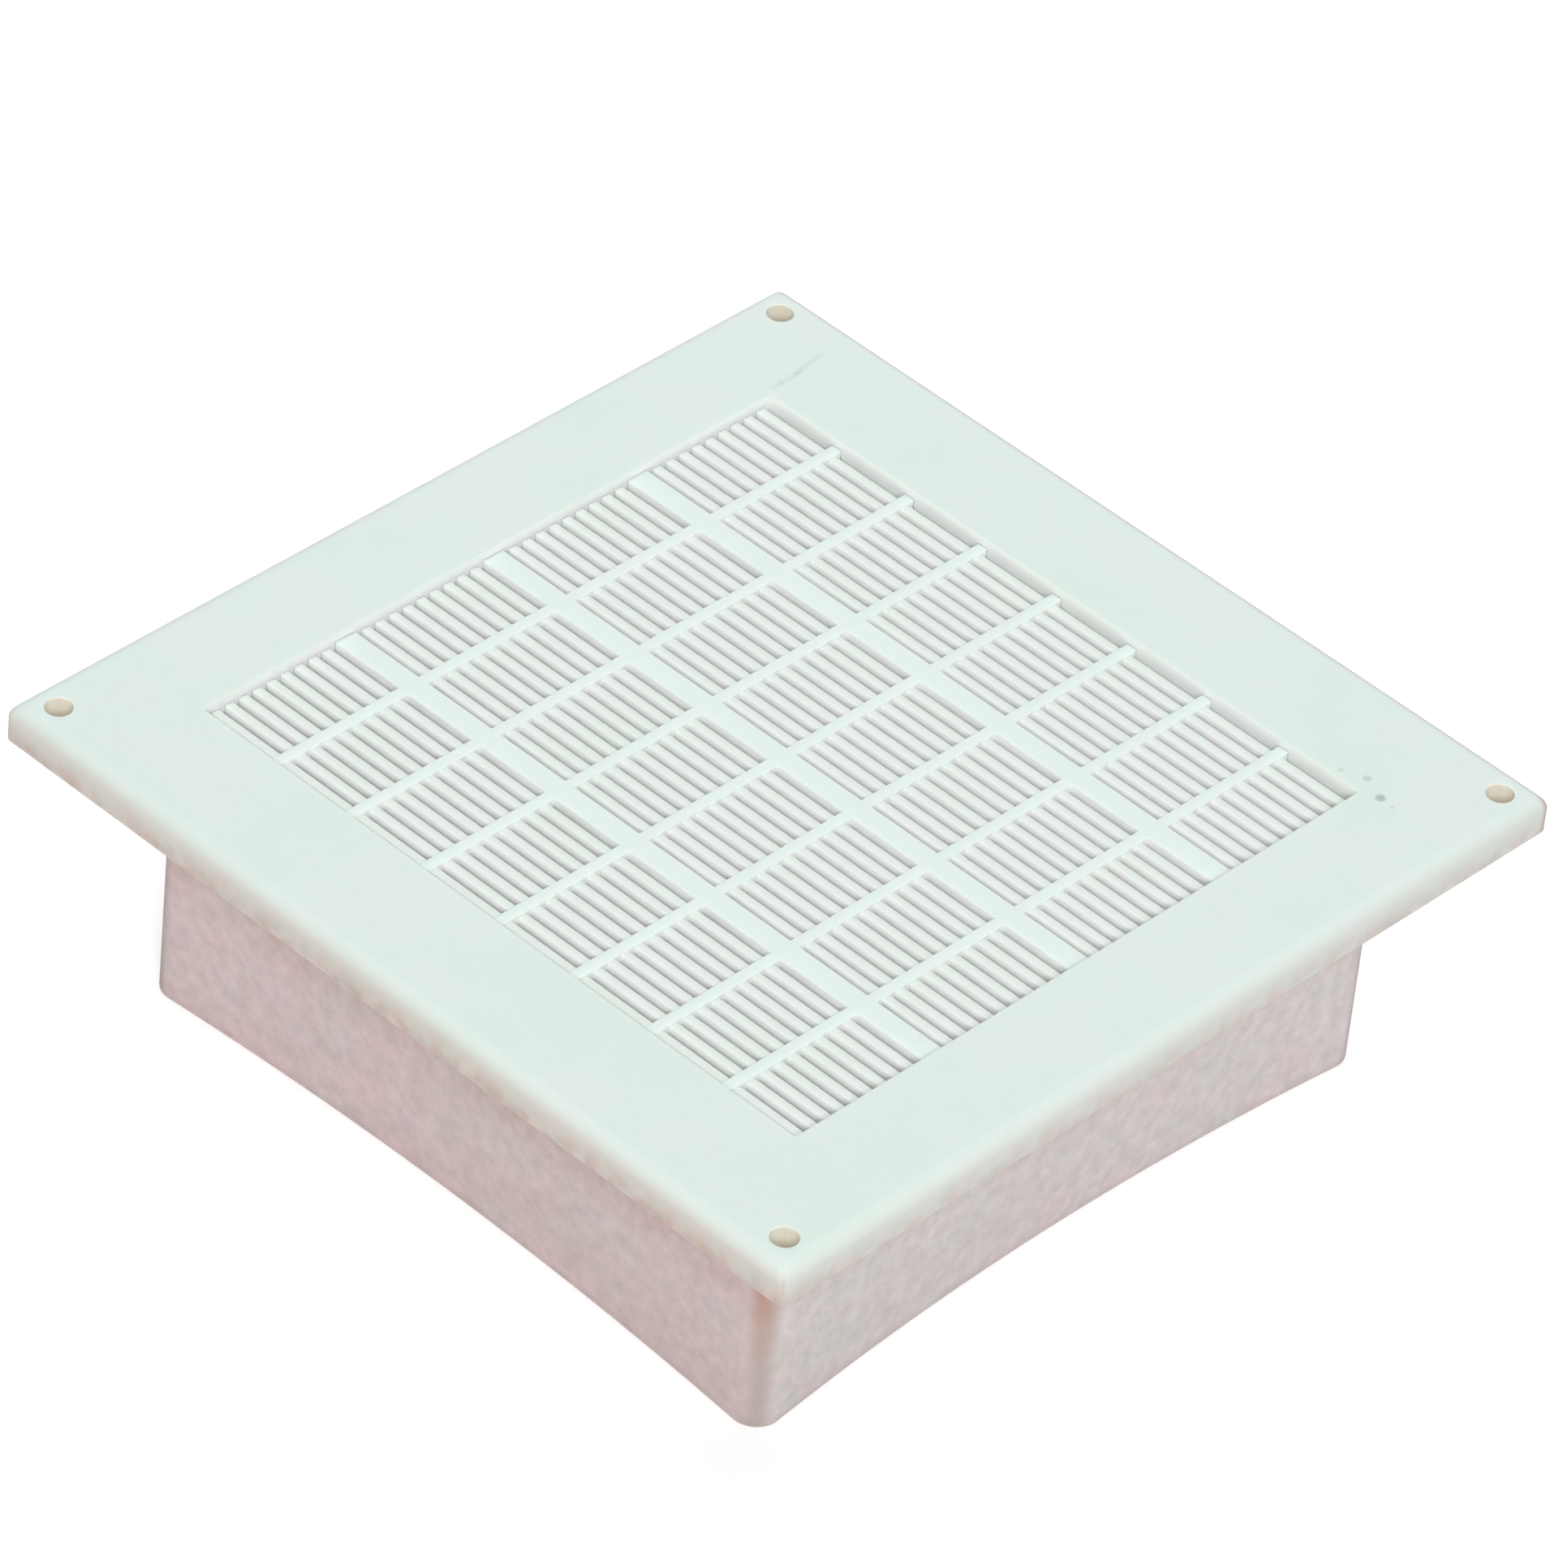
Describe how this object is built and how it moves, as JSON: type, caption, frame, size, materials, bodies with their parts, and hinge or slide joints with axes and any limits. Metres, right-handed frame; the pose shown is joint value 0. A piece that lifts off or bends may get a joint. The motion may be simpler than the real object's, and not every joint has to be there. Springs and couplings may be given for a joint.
{
  "type": "square floor grille with duct collar",
  "caption": "Square slotted cover plate with a turned-down rim, corner screw holes and a deep square collar that drops into a duct opening.",
  "frame": {"origin": "centre of the collar's free rim, in the plane that the grille stands on while it isn't fitted", "axes": "+Z out of the duct, through the slotted face; the slots run along X and the wide bars between the rows too; the narrow bars run along Y"},
  "size_m": [0.17, 0.17, 0.0555],
  "materials": {
    "white_plastic": "moulded, satin, slightly off-white"
  },
  "bodies": {
    "root": {"grille": "white_plastic"}
  },
  "joints": []
}
